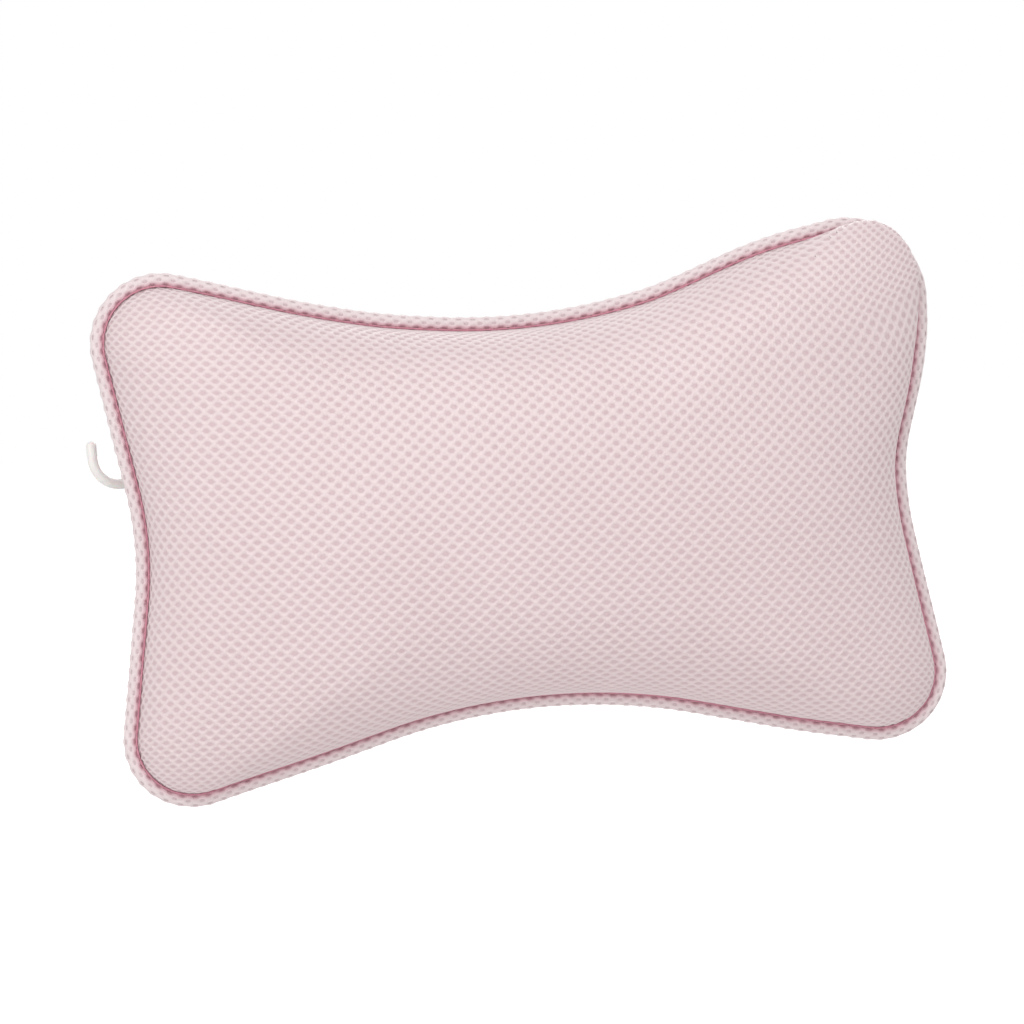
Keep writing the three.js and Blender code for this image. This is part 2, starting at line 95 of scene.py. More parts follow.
# ---------------- outline and crown
LOBE_X, LOBE_Z = SEAM_LENGTH / 2 - LOBE_R, SEAM_HEIGHT / 2 - LOBE_R
LONG_CZ, SHORT_CX = SEAM_HEIGHT / 2 - LONG_IN + LONG_R, SEAM_LENGTH / 2 - SHORT_IN + SHORT_R


def direction_of_straight(x, z, radius, side):
    """Direction from a lobe's centre to where the straight line to an arc touches the lobe."""
    apart = math.hypot(x - LOBE_X, z - LOBE_Z)
    return math.atan2(z - LOBE_Z, x - LOBE_X) + side * math.acos((LOBE_R + radius) / apart)


LOBE_START = direction_of_straight(SHORT_CX, 0, SHORT_R, 1)
LOBE_END = direction_of_straight(0, LONG_CZ, LONG_R, -1)


def quarter_outline(n):
    """Points of the seam from the right waist up to the top waist."""
    def arc(x, z, radius, start, end):
        a = np.linspace(start, end, n)
        return np.stack([x + radius * np.cos(a), z + radius * np.sin(a)], 1)

    short = arc(SHORT_CX, 0, SHORT_R, math.pi, math.pi + LOBE_START)
    lobe = arc(LOBE_X, LOBE_Z, LOBE_R, LOBE_START, LOBE_END)
    long = arc(0, LONG_CZ, LONG_R, LOBE_END - math.pi, -math.pi / 2)
    t = np.linspace(0, 1, n)[1:-1, None]
    return np.concatenate([
        short, short[-1] + (lobe[0] - short[-1]) * t, lobe, lobe[-1] + (long[0] - lobe[-1]) * t, long])


_quarter = quarter_outline(800)
_quarter_turn = np.arctan2(_quarter[:, 1], _quarter[:, 0])
_quarter_r = np.hypot(_quarter[:, 0], _quarter[:, 1])


def seam_radius(turn):
    t = np.abs(np.arctan2(np.sin(turn), np.cos(turn)))
    t = np.where(t > math.pi / 2, math.pi - t, t)
    return np.interp(t, _quarter_turn, _quarter_r)


def oval_radius(turn):
    return 1 / np.hypot(np.cos(turn) / OVAL_X, np.sin(turn) / OVAL_Z)


def turns_round(count):
    return np.linspace(0, 2 * math.pi, count, endpoint=False)


def smooth(t):
    t = np.clip(t, 0, 1)
    return t * t * (3 - 2 * t)


def corner_share(x, z):
    """How far a place belongs to the upper right corner, from 0 to 1."""
    way = np.degrees(np.arctan2(z - 50, x - 88))
    return smooth((way + 6) / 26) * smooth((64 - way) / 24) * smooth((np.hypot(x, z) - 120) / 28)


def side_share(x, z):
    """How far a place belongs to the right side under that corner, from 0 to 1."""
    way = np.degrees(np.arctan2(z, x))
    return smooth((way - 1) / 17) * smooth((31 - way) / 12) * smooth((np.hypot(x, z) - 100) / 45)


def settled(x, z):
    """How far the sewn pillow stands over or under the even outline: the four corners are not quite alike."""
    def near(middle, reach):
        return smooth(1 - np.abs(x - middle) / reach)
    top, bottom = smooth((z - 30) / 40), smooth((-z - 30) / 40)
    return top * (3.0 * near(96, 46) - 1.4 * near(-75, 50)) + bottom * (1.7 * near(138, 50) + 1.0 * near(-125, 50))


class Panel:
    """One crowned panel on a grid of directions and rings: points, outward normals and flat cloth places."""

    def __init__(self, side, crown, bulge=0.0, around=400, rings=100):
        self.side, self.around, self.rings = side, around, rings
        turn = turns_round(around)[:, None]
        out = np.sin(np.linspace(0, math.pi / 2, rings + 1))[None, :]
        rs, ro = seam_radius(turn), oval_radius(turn)
        h = 2e-3
        drs = (seam_radius(turn + h) - seam_radius(turn - h)) / (2 * h)
        dro = (oval_radius(turn + h) - oval_radius(turn - h)) / (2 * h)
        r = out * (ro + (rs - ro) * out ** 2)
        share = np.sqrt(np.maximum(0, 1 - out ** CROWN_POWER)) * np.ones_like(turn)
        g_out = ro + 3 * (rs - ro) * out ** 2
        g_turn = (dro + (drs - dro) * out ** 2) / (ro + (rs - ro) * out ** 2)
        gr, gt = 1 / g_out, -g_turn / g_out
        c, s = np.cos(turn), np.sin(turn)
        gx, gz = gr * c - gt * s, gr * s + gt * c
        y = side * (PANEL_EDGE + crown * share)
        self.out, self.share = np.broadcast_to(out, y.shape), share
        self.points = np.stack([r * c, y, r * s], 2)
        if bulge:
            amount = bulge * corner_share(r * c, r * s) * smooth(share / 0.16) * smooth((0.85 - share) / 0.7)
            self.points += amount[:, :, None] * np.array([0.55, 0, 0.835])
        self.normals = self.square_to_face()
        dr, ds = np.diff(r, axis=1), np.linalg.norm(np.diff(self.points, axis=1), axis=2)
        extra = np.concatenate([np.zeros((around, 1)), np.cumsum(ds - dr, 1)], 1)
        g = np.hypot(gx, gz)
        self.flat = np.stack([r * c + extra * gx / g, r * s + extra * gz / g], 2)

    def square_to_face(self):
        """Unit normals of the grid, which point out of the pillow."""
        p = self.points
        across = np.roll(p, -1, 0) - np.roll(p, 1, 0)
        outwards = np.empty_like(p)
        outwards[:, 1:-1] = p[:, 2:] - p[:, :-2]
        outwards[:, -1] = p[:, -1] - p[:, -2]
        outwards[:, 0] = [1, 0, 0]
        normal = np.cross(outwards, across)
        normal[:, 0] = [0, -1, 0]
        return -self.side * normal / np.linalg.norm(normal, axis=2, keepdims=True)

    def shift(self, amount):
        self.points = self.points + self.normals * amount[:, :, None]
        self.normals = self.square_to_face()

    def layer(self, depth, rows=None, step=1):
        """Rings of points at a depth under the face, the middle one a single point."""
        pts = (self.points - self.normals * np.asarray(depth)[..., None])[::step]
        rows = rows or range(self.rings + 1)
        return [pts[:1, 0] if row == 0 else pts[:, row] for row in rows]

    def prepare(self):
        n, m = self.around, self.rings + 1

        def at(i, j):
            return (i % n) * m + j

        tris = []
        for i in range(n):
            for j in range(self.rings):
                a, b, c, d = at(i, j), at(i + 1, j), at(i + 1, j + 1), at(i, j + 1)
                if j:
                    tris.append((a, b, c))
                tris.append((a, c, d))
        self.tris = np.array(tris)
        flat3 = np.concatenate([self.flat.reshape(-1, 2), np.zeros((n * m, 1))], 1)
        self.flat3 = flat3
        self.tree = BVHTree.FromPolygons(flat3.tolist(), tris)

    def place(self, spots, depth):
        """Points in space for places on the flat cloth at depths under the face, and how far each lay off it."""
        near = [self.tree.find_nearest(Vector((u, v, 0.0))) for u, v in spots.tolist()]
        where = np.array([n[0][:2] for n in near])
        face = self.tris[np.array([n[2] for n in near])]
        away = np.array([n[3] for n in near])
        a, b, c = (self.flat3[face[:, k], :2] for k in range(3))
        whole = (b[:, 0] - a[:, 0]) * (c[:, 1] - a[:, 1]) - (b[:, 1] - a[:, 1]) * (c[:, 0] - a[:, 0])
        whole = np.where(np.abs(whole) < 1e-12, 1e-12, whole)
        wb = ((where[:, 0] - a[:, 0]) * (c[:, 1] - a[:, 1]) - (where[:, 1] - a[:, 1]) * (c[:, 0] - a[:, 0])) / whole
        wc = ((b[:, 0] - a[:, 0]) * (where[:, 1] - a[:, 1]) - (b[:, 1] - a[:, 1]) * (where[:, 0] - a[:, 0])) / whole
        w = np.stack([1 - wb - wc, wb, wc], 1)[:, :, None]
        pts, nrm = self.points.reshape(-1, 3), self.normals.reshape(-1, 3)
        p = (pts[face] * w).sum(1)
        n = (nrm[face] * w).sum(1)
        n /= np.linalg.norm(n, axis=1, keepdims=True)
        return p - n * np.asarray(depth)[:, None], away


# ---------------- meshes
def make(name, points, faces, tint=None):
    """A mesh object from points in the row frame, in millimetres. tint is each point's share of the painted shade
    colour.
    """
    mesh = bpy.data.meshes.new(name)
    mesh.from_pydata((np.asarray(points, float) * MM).tolist(), [], [tuple(f) for f in faces])
    mesh.update()
    mesh.polygons.foreach_set("use_smooth", [True] * len(mesh.polygons))
    if tint is not None:
        mesh.attributes.new("tint", "FLOAT", "POINT").data.foreach_set("value", np.asarray(tint, np.float32))
    obj = bpy.data.objects.new(name, mesh)
    bpy.context.scene.collection.objects.link(obj)
    return obj


def in_row(points):
    """From the pillow's own frame, with the seam at y = 0, to the row frame."""
    points = np.array(points, float) + np.array([0.0, SEAM_Y, 0.0])
    x, back, z = points[..., 0].copy(), points[..., 1] - SEAM_Y, points[..., 2].copy()
    points[..., 0] += SIDE_STANDS_OUT * side_share(x, z)
    points[..., 1] -= HOOK_DENT * smooth(1 - np.hypot(x - HOOK_X, z - DENT_Z) / DENT_REACH) * smooth(back / 8)
    points[..., 2] += settled(x, z)
    return points


def skin(rings, loop=False):
    """Points and faces of a closed skin through rings of points. A ring of one point closes an end."""
    points, starts, count = [], [], 0
    for ring in rings:
        starts.append(count)
        points.append(np.asarray(ring, float).reshape(-1, 3))
        count += len(points[-1])
    faces = []
    for row in range(len(rings) if loop else len(rings) - 1):
        nxt = (row + 1) % len(rings)
        a, b = len(points[row]), len(points[nxt])
        for k in range(max(a, b)):
            p, q = starts[row] + k % a, starts[row] + (k + 1) % a
            r, s = starts[nxt] + k % b, starts[nxt] + (k + 1) % b
            faces.append((q, s, r) if a == 1 else (p, q, r) if b == 1 else (p, q, s, r))
    points = np.concatenate(points)
    return points, facing_out(points, faces)


def facing_out(points, faces):
    volume = 0.0
    for f in faces:
        for k in range(1, len(f) - 1):
            volume += np.dot(points[f[0]], np.cross(points[f[k]], points[f[k + 1]]))
    return [f[::-1] for f in faces] if volume < 0 else faces


def cast(name, rings, loop=False):
    """A mesh through rings of points in the pillow's own frame."""
    points, faces = skin(rings, loop)
    return make(name, in_row(points), faces)


def joined(parts):
    points, faces, count = [], [], 0
    for p, f in parts:
        points.append(p)
        faces += [tuple(k + count for k in face) for face in f]
        count += len(p)
    return np.concatenate(points), faces


def sewn(name, parts):
    """One mesh of many stitches in the pillow's own frame."""
    points, faces = joined(parts)
    return make(name, in_row(points), faces)


# ---------------- simulation of the filled cushion
def swell(panels):
    """Inflates the filled cushion as cloth and returns how far it moves each panel's grid, in millimetres."""
    look_from = 14.0
    rings = []
    for panel, order in ((panels[0], 1), (panels[1], -1)):
        rows = list(range(0, panel.rings + 1, 5))
        rings += panel.layer(1.6, rows, step=4)[::order]
    body = cast("swell_cushion", rings)
    bpy.context.view_layer.objects.active = body
    remesh = body.modifiers.new("Remesh", "REMESH")
    remesh.mode, remesh.voxel_size = "VOXEL", 0.005
    bpy.ops.object.modifier_apply(modifier=remesh.name)
    co = np.array([v.co for v in body.data.vertices]) / MM - np.array([0, SEAM_Y, 0])
    turn = np.arctan2(co[:, 2], co[:, 0])
    share = np.hypot(co[:, 0], co[:, 2]) / seam_radius(turn)
    group = body.vertex_groups.new(name="seam")
    for i in np.nonzero((share > 0.955) & (np.abs(co[:, 1]) < 9))[0]:
        group.add([int(i)], 1.0, "REPLACE")
    cloth = body.modifiers.new("Cloth", "CLOTH")
    st = cloth.settings
    st.quality = 6
    st.mass = 0.25
    st.tension_stiffness = st.compression_stiffness = 18
    st.shear_stiffness = 8
    st.bending_stiffness = 1.2
    st.use_pressure = True
    st.uniform_pressure_force = 4.0
    st.vertex_group_mass = "seam"
    st.effector_weights.gravity = 0.0
    cloth.collision_settings.use_collision = False
    scene = bpy.context.scene
    scene.frame_start, scene.frame_end = 1, SWELL_FRAMES
    for f in range(1, SWELL_FRAMES + 1):
        scene.frame_set(f)
    evaluated = body.evaluated_get(bpy.context.evaluated_depsgraph_get())
    puffed = evaluated.to_mesh()
    tree = BVHTree.FromPolygons([v.co[:] for v in puffed.vertices], [p.vertices[:] for p in puffed.polygons])
    evaluated.to_mesh_clear()
    scene.frame_set(1)
    moves = []
    for panel in panels:
        start = in_row(panel.points + panel.normals * look_from) * MM
        aim = -panel.normals
        moved = np.zeros(panel.points.shape[:2])
        for i in range(panel.around):
            for j in range(0, panel.rings + 1):
                hit = tree.ray_cast(Vector(start[i, j]), Vector(aim[i, j]), 0.03)
                moved[i, j] = look_from - hit[3] / MM if hit[0] else 0.0
        moves.append(moved)
    bpy.data.objects.remove(body)
    return moves


def softened(move, panel, cap, passes=14):
    """The simulation's own unevenness: each ring's mean off, smoothed, capped, and eased to nothing at the seam."""
    d = move - move.mean(0, keepdims=True)
    for _ in range(passes):
        d = (np.roll(d, 1, 0) + 2 * d + np.roll(d, -1, 0)) / 4
        inner = d.copy()
        inner[:, 1:-1] = (d[:, :-2] + 2 * d[:, 1:-1] + d[:, 2:]) / 4
        inner[:, 0] = inner[:, 0].mean()
        d = inner
    return np.clip(d, -cap, cap) * (1 - smooth((panel.out - 0.84) / 0.15))


front, back = Panel(-1, FRONT_CROWN, CORNER_BULGE), Panel(1, BACK_CROWN)
moved_front, moved_back = swell([front, back])
front.shift(softened(moved_front, front, 2.0))
back.shift(softened(moved_back, back, 1.2))
front.prepare()
back.prepare()

# ---------------- air mesh
CORNERS = np.array([(2.4, 0), (0.2, 2.3), (-0.2, 2.3), (-2.4, 0), (-0.2, -2.3), (0.2, -2.3)])


def hole_ring(half_u, half_v, pulled=0.0):
    """Six points round a hole: an oval, or a wide lozenge where the cloth is pulled along."""
    pulled = np.asarray(pulled, float)[..., None]
    across = np.array([1, 1, -1, -1, -1, 1]) * (1 - np.array([0, 1, 1, 0, 1, 1]) * (0.46 + 0.18 * pulled))
    up = np.array([0, 1, 1, 0, -1, -1]) * (0.84 + 0.12 * pulled)
    return np.stack([half_u * (1 + 0.3 * pulled) * across, half_v * (1 - 0.08 * pulled) * up], -1)


def air_net(centres, corners, rings, depths, place, snap=None):
    """The outer skin of a net of knitted strands. Each cell has a hole, and its corners lie on the strands' middle
    lines, which it shares with its neighbours. rings are the hole's outlines from the top down, depths the depths
    of the middle line and of each ring. Gives points, faces, each point's share of the depth, and its place."""
    n = len(centres)
    where = centres[:, None] + corners
    keys = np.round(where.reshape(-1, 2) * 200).astype(np.int64)
    _, first, index = np.unique(keys, axis=0, return_index=True, return_inverse=True)
    index = index.reshape(n, 6)
    shared = where.reshape(-1, 2)[first]
    holes = [centres[:, None] + ring for ring in rings]
    if snap is not None:
        edges = np.sort(np.stack([index, np.roll(index, -1, 1)], 2).reshape(-1, 2), axis=1)
        edges, uses = np.unique(edges, axis=0, return_counts=True)
        border = np.unique(edges[uses == 1])
        shared[border] = snap(shared[border])
        # A cell squeezed at the border has its hole squeezed with it
        squeezed = np.isin(index, border).any(axis=1)
        cells = shared[index[squeezed]]
        middles = cells.mean(axis=1, keepdims=True)
        for hole in holes:
            size = (hole[squeezed, 0, 0] - centres[squeezed, 0]) / corners[0, 0]
            hole[squeezed] = middles + (cells - middles) * size[:, None, None]
    m = len(shared)
    spots = np.concatenate([shared] + [hole.reshape(-1, 2) for hole in holes])
    deep = np.concatenate([np.full(m, depths[0])] + [np.full(n * 6, depth) for depth in depths[1:]])
    levels = [index] + [m + step * n * 6 + np.arange(n * 6).reshape(n, 6) for step in range(len(rings))]
    faces = []
    for upper, lower in zip(levels[:-1], levels[1:]):
        for k in range(6):
            nxt = (k + 1) % 6
            faces.append(np.stack([upper[:, k], upper[:, nxt], lower[:, nxt], lower[:, k]], 1))
    return place(spots, deep), np.concatenate(faces), np.maximum(deep / depths[-1], 0), spots


def panel_net(name, panel):
    reach_u = int(np.abs(panel.flat[:, :, 0]).max() / PITCH_U) + 2
    reach_v = int(np.abs(panel.flat[:, :, 1]).max() / PITCH_V) + 2
    j, i = np.meshgrid(np.arange(-reach_v, reach_v + 1), np.arange(-reach_u, reach_u + 1), indexing="ij")
    centres = np.stack([(i + 0.5 * (j % 2)) * PITCH_U, j * PITCH_V], 2).reshape(-1, 2)
    _, away = panel.place(centres, np.zeros(len(centres)))
    centres = centres[away < 0.05]
    seam = panel.flat[:, -1]

    def snap(spots):
        near = np.linalg.norm(spots[:, None] - seam[None], axis=2).argmin(1)
        return seam[near]

    def place(spots, depth):
        return panel.place(spots, depth)[0]

    pulled = np.maximum(smooth((34 - centres[:, 1]) / 50), smooth((-55 - centres[:, 0]) / 50))
    holes = [hole_ring(half_u, half_v, pulled) for half_u, half_v in NET_HOLES]
    # Each point's share of the depth darkens the strands towards the ground's colour: painted shade down the holes'
    # walls
    points, faces, painted_hole_shade, _ = air_net(centres, CORNERS, holes, NET_DEPTHS, place, snap)
    if panel.side > 0:
        faces = faces[:, ::-1]
    return make(name, in_row(points), faces.tolist(), painted_hole_shade)


def ground_top(panel):
    """Depth of the ground: close under the net, and deeper where the panel turns sharply into the seam."""
    return GROUND_TOP + GROUND_DROP * smooth((0.13 - panel.share) / 0.05)


def bowl(name, panel, outer, inner, step=1, every=1):
    """A closed layer of a panel between two depths, on the whole grid or on a coarser one."""
    rows = list(range(0, panel.rings + 1, every))
    return cast(name, panel.layer(outer, rows, step) + panel.layer(inner, rows, step)[::-1])


front_net = panel_net("front_mesh_net", front)
back_net = panel_net("back_mesh_net", back)
front_ground = bowl("front_mesh_ground", front, ground_top(front), GROUND_FOOT)
back_ground = bowl("back_mesh_ground", back, ground_top(back), GROUND_FOOT)
front_lining = bowl("front_lining", front, LINING_TOP, LINING_FOOT, step=4, every=4)
back_lining = bowl("back_lining", back, LINING_TOP, LINING_FOOT, step=4, every=4)

rows = list(range(0, front.rings + 1, 4))
filling = cast("fibre_body", front.layer(FILLING_TOP, rows, 4) + back.layer(FILLING_TOP, rows, 4)[::-1])

# ---------------- piping round the seam
class Seam:
    """The seam's outline at an offset, by its length."""

    def __init__(self, offset):
        q = quarter_outline(500)
        s = np.concatenate([[0], np.cumsum(np.linalg.norm(np.diff(q, axis=0), axis=1))])
        even = np.linspace(0, s[-1], 2000)
        q = np.stack([np.interp(even, s, q[:, 0]), np.interp(even, s, q[:, 1])], 1)
        pts = np.concatenate([q, (q * [-1, 1])[::-1][1:], (q * [-1, -1])[1:], (q * [1, -1])[::-1][1:-1]])
        tangent = np.roll(pts, -1, 0) - np.roll(pts, 1, 0)
        tangent /= np.linalg.norm(tangent, axis=1, keepdims=True)
        self.normal = np.stack([tangent[:, 1], -tangent[:, 0]], 1)
        self.points = pts + self.normal * offset
        closed = np.concatenate([self.points, self.points[:1]])
        self.s = np.concatenate([[0], np.cumsum(np.linalg.norm(np.diff(closed, axis=0), axis=1))])
        self.length = self.s[-1]

    def at(self, s):
        s = np.mod(s, self.length)
        both = np.concatenate([self.points, self.normal], 1)
        both = np.concatenate([both, both[:1]])
        x, z, nx, nz = (np.interp(s, self.s, both[:, k]) for k in range(4))
        length = np.hypot(nx, nz)
        return np.stack([x, np.zeros_like(x), z], 1), np.stack([nx / length, np.zeros_like(x), nz / length], 1)


cord_line = Seam(PIPING_OUT)
Y = np.array([0.0, 1.0, 0.0])


def round_cord(s, turn, radius):
    """Points on a tube round the cord, turn measured from outwards towards +Y."""
    centre, out = cord_line.at(s)
    return centre + (out * np.cos(turn)[:, None] + Y * np.sin(turn)[:, None]) * np.asarray(radius)[:, None]


cells_along = int(round(cord_line.length / PITCH_U))
pitch_s = cord_line.length / cells_along
row_turn = math.radians(44)
j, i = np.meshgrid(np.arange(-3, 4), np.arange(cells_along), indexing="ij")
centres = np.stack([(i + 0.5 * (j % 2)), j], 2).reshape(-1, 2).astype(float)


def piping_place(spots, depth):
    """The piping's mesh stands up between the holes and dips at each one."""
    dip = 0.13 * np.cos(2 * math.pi * spots[:, 0]) * np.cos(math.pi * spots[:, 1])
    return round_cord(spots[:, 0] * pitch_s, spots[:, 1] * row_turn, PIPING_R - 0.07 - dip - depth)


def painted_groove_shade(turn):
    """Share of painted shade and painted rose reflection on the piping: none outside, most where it goes in between
    the panels.
    """
    turn = np.abs(np.arctan2(np.sin(turn), np.cos(turn)))
    return smooth((np.degrees(turn) - 84) / 58)


holes = [hole_ring(half_u / PITCH_U, half_v / PITCH_V) for half_u, half_v in PIPING_HOLES]
points, faces, _, spots = air_net(centres, CORNERS / [PITCH_U, PITCH_V], holes, PIPING_DEPTHS, piping_place)
piping_net = make("piping_net", in_row(points), faces.tolist(), painted_groove_shade(spots[:, 1] * row_turn))


def sweep(section, steps):
    """Sweeps a closed section, [distance out from the cord's line, y], along the cord."""
    s = np.linspace(0, cord_line.length, steps, endpoint=False)
    centre, out = cord_line.at(s)
    rings = [centre[k] + np.outer(section[:, 0], out[k]) + np.outer(section[:, 1], Y) for k in range(steps)]
    return skin(rings, loop=True)


def piping_section(outer, inner, tail_half, reach):
    """The folded strip: a ring open towards the pillow, with two tails that lie between the panels."""
    start = math.pi - math.asin(tail_half / outer)
    end = math.pi - math.asin(0.15 / inner)
    a = np.linspace(start, -start, 22)
    b = np.linspace(-end, end, 18)
    rows = [(-reach, tail_half)] + list(zip(outer * np.cos(a), outer * np.sin(a)))
    rows += [(-reach, -tail_half), (-reach, -0.15)] + list(zip(inner * np.cos(b), inner * np.sin(b)))
    return np.array(rows + [(-reach, 0.15)])


STEPS, TAIL_LENGTH = 420, 4.6
section = piping_section(2.13, 1.66, 0.85, PIPING_OUT + TAIL_LENGTH)
points, faces = sweep(section, STEPS)
turns = np.arctan2(section[:, 1], np.maximum(section[:, 0], -2.0))
piping_ground = make("piping_ground", in_row(points), faces, np.tile(painted_groove_shade(turns), STEPS))

CORD_STEPS, CORD_POINTS, TWIST_LENGTH = 860, 12, 9
s = np.linspace(0, cord_line.length, CORD_STEPS, endpoint=False)
turn = turns_round(CORD_POINTS)
twist = s * (2 * math.pi * round(cord_line.length / TWIST_LENGTH) / cord_line.length)
rings = []
for k in range(CORD_STEPS):
    radius = 1.42 + 0.12 * np.abs(np.cos(1.5 * (turn - twist[k]))) - 0.06
    rings.append(round_cord(np.full(CORD_POINTS, s[k]), turn, radius))
piping_core = cast("piping_core", rings, loop=True)


# ---------------- seam thread
def thread_ring(name, side):
    """The rolled edge of the panel in the groove beside the piping, drawn in at each stitch."""
    line = Seam(0.35)
    count = int(round(line.length / 4.4))
    steps = count * 8
    s = np.linspace(0, line.length, steps, endpoint=False)
    phase = 2 * math.pi * s * count / line.length
    centre, out = line.at(s)
    turn = turns_round(8)
    rings = []
    for k in range(steps):
        bead = 0.5 + 0.5 * math.cos(phase[k])
        r = 0.27 + 0.14 * bead ** 0.8
        mid = centre[k] + Y * side * (1.68 + 0.12 * bead)
        rings.append(mid + r * (np.outer(np.cos(turn), out[k]) + np.outer(np.sin(turn), Y)))
    return cast(name, rings, loop=True)


seam_front = thread_ring("seam_roll_front", -1)
seam_back = thread_ring("seam_roll_back", 1)

# ---------------- webbing, stitches
back_tree = BVHTree.FromPolygons(back.points.reshape(-1, 3).tolist(), back.tris)


def back_height(x, z):
    """Height of the back panel's face over the seam's plane."""
    hit = back_tree.ray_cast(Vector((x, 200.0, z)), Vector((0, -1, 0)))
    return hit[0].y if hit[0] else PANEL_EDGE


def weave(along, across, half):
    """Ribs of woven tape: a chevron that turns round at the middle and at a cord near each selvedge."""
    v = np.abs(across)
    ribs = 0.5 + 0.5 * np.cos(2 * math.pi * (along / 1.45 + np.abs(v - half * 0.45) / 2.1))
    edge = smooth((half - v) / 0.5)
    return RIB * ribs * edge


def strap(name, cx, cz):
    """A strap along X over the back panel, raised and level for the cup's head, with an eyelet."""
    half_l, half_w = STRAP_L / 2, STRAP_W / 2
    level = STRAP_LEVEL - SEAM_Y
    per_l, per_w = 150, 44
    x = np.linspace(-half_l, half_l, per_l, endpoint=False)
    z = np.linspace(-half_w, half_w, per_w, endpoint=False)
    rim = np.concatenate([
        np.stack([x, np.full(per_l, -half_w)], 1), np.stack([np.full(per_w, half_l), z], 1),
        np.stack([-x, np.full(per_l, half_w)], 1), np.stack([np.full(per_w, -half_l), -z], 1)])
    turn = np.arctan2(rim[:, 1], rim[:, 0])
    hole = EYELET_R * np.stack([np.cos(turn), np.sin(turn)], 1)
    rows = np.linspace(0, 1, 44)
    heights = {}

    def ring(share, face):
        spot = hole + (rim - hole) * share
        out = []
        for dx, dz in spot:
            seat = heights.get((dx, dz))
            if seat is None:
                seat = heights[dx, dz] = back_height(cx + dx, cz + dz) + WEB_LIFT
            raised = 1 - smooth((abs(dx) - SEAT_HALF) / (half_l - STRAP_SEWN - SEAT_HALF))
            under = seat + (level - seat) * raised
            rib = weave(dx, dz, half_w) - RIB
            out.append(under + (WEB_T + rib if face > 0 else -rib))
        return np.stack([cx + spot[:, 0], np.array(out), cz + spot[:, 1]], 1)

    top = [ring(r, 1) for r in rows]
    under = [ring(r, -1) for r in rows]

    def between(a, b, bulge, outward):
        mid = (a + b) / 2
        way = (rim / np.linalg.norm(rim, axis=1, keepdims=True)) * outward
        mid[:, 0] += way[:, 0] * bulge
        mid[:, 2] += way[:, 1] * bulge
        return mid

    rings = top + [between(top[-1], under[-1], 0.18, 1)] + under[::-1] + [between(top[0], under[0], 0.15, -1)]
    return cast(name, rings, loop=True)


def stitch(p, q, up, radius=0.24, lift=0.2):
    """One stitch: a short length of thread that rises from one hole and goes down in the next."""
    p, q, up = (np.asarray(v, float) for v in (p, q, up))
    along = q - p
    side = np.cross(along, up)
    side /= np.linalg.norm(side)
    rings, a = [], turns_round(6)
    for t in np.linspace(0, 1, 7):
        bow = math.sin(math.pi * t)
        mid = p + along * t + up * (lift * bow ** 0.6 - 0.18)
        r = radius * (0.45 + 0.55 * bow ** 0.5)
        rings.append(mid + r * (np.outer(np.cos(a), side) + np.outer(np.sin(a), up)))
    return skin([rings[0].mean(0)] + rings + [rings[-1].mean(0)])


def stitch_run(corners, place, up, pitch=2.3):
    """Stitches along a line of flat corners; place gives the point on the cloth for a flat place."""
    parts = []
    for a, b in zip(corners[:-1], corners[1:]):
        a, b = np.array(a, float), np.array(b, float)
        count = max(1, int(round(np.linalg.norm(b - a) / pitch)))
        for k in range(count):
            p, q = a + (b - a) * (k + 0.12) / count, a + (b - a) * (k + 0.88) / count
            parts.append(stitch(place(*p), place(*q), up(*((p + q) / 2))))
    return parts


def back_normal(x, z):
    e = 1.5
    n = np.array([(back_height(x - e, z) - back_height(x + e, z)) / (2 * e), 1.0,
                  (back_height(x, z - e) - back_height(x, z + e)) / (2 * e)])
    return n / np.linalg.norm(n)


CORNERS_OF_PILLOW = [("upper_left", -1, 1), ("upper_right", 1, 1), ("lower_left", -1, -1), ("lower_right", 1, -1)]
straps, strap_threads, eyelet_threads = [], [], []
for label, sx, sz in CORNERS_OF_PILLOW:
    cx, cz = sx * CUP_X, sz * CUP_Z
    straps.append(strap("strap_" + label, cx, cz))
    parts = []
    for end in (-1, 1):
        x0, x1 = end * (STRAP_L / 2 - 1.2), end * (STRAP_L / 2 - STRAP_SEWN + 0.6)
        w = STRAP_W / 2 - 1.8
        corners = [(x0, -w), (x0, w), (x1, w), (x1, -w), (x0, -w), (x1, w)]

        def place(dx, dz):
            return np.array([cx + dx, back_height(cx + dx, cz + dz) + WEB_LIFT + WEB_T, cz + dz])

        def up(dx, dz):
            return back_normal(cx + dx, cz + dz)

        parts += stitch_run(corners, place, up) + stitch_run([(x0, w), (x1, -w)], place, up)
    strap_threads.append(sewn("strap_stitches_" + label, parts))

    parts = []
    for k in range(EYELET_STITCHES):
        a = 2 * math.pi * k / EYELET_STITCHES
        way = np.array([math.cos(a), 0, math.sin(a)])
        base = np.array([cx, STRAP_LEVEL - SEAM_Y + WEB_T, cz])
        parts.append(stitch(base + way * (EYELET_R + 0.15), base + way * (EYELET_R + 2.0), Y, 0.22, 0.16))
    eyelet_threads.append(sewn("eyelet_stitches_" + label, parts))


# ---------------- loop and hook
def across_and_out(turn):
    return np.array([math.cos(turn), math.sin(turn), 0]), np.array([-math.sin(turn), math.cos(turn), 0])


def loop_seat(z):
    """Under the loop: the point of the back's face, its turn about +Z, its direction across and its normal."""
    turn = math.atan(back_height(HOOK_X + 0.5, z) - back_height(HOOK_X - 0.5, z))
    return np.array([HOOK_X, back_height(HOOK_X, z), z]), turn, *across_and_out(turn)


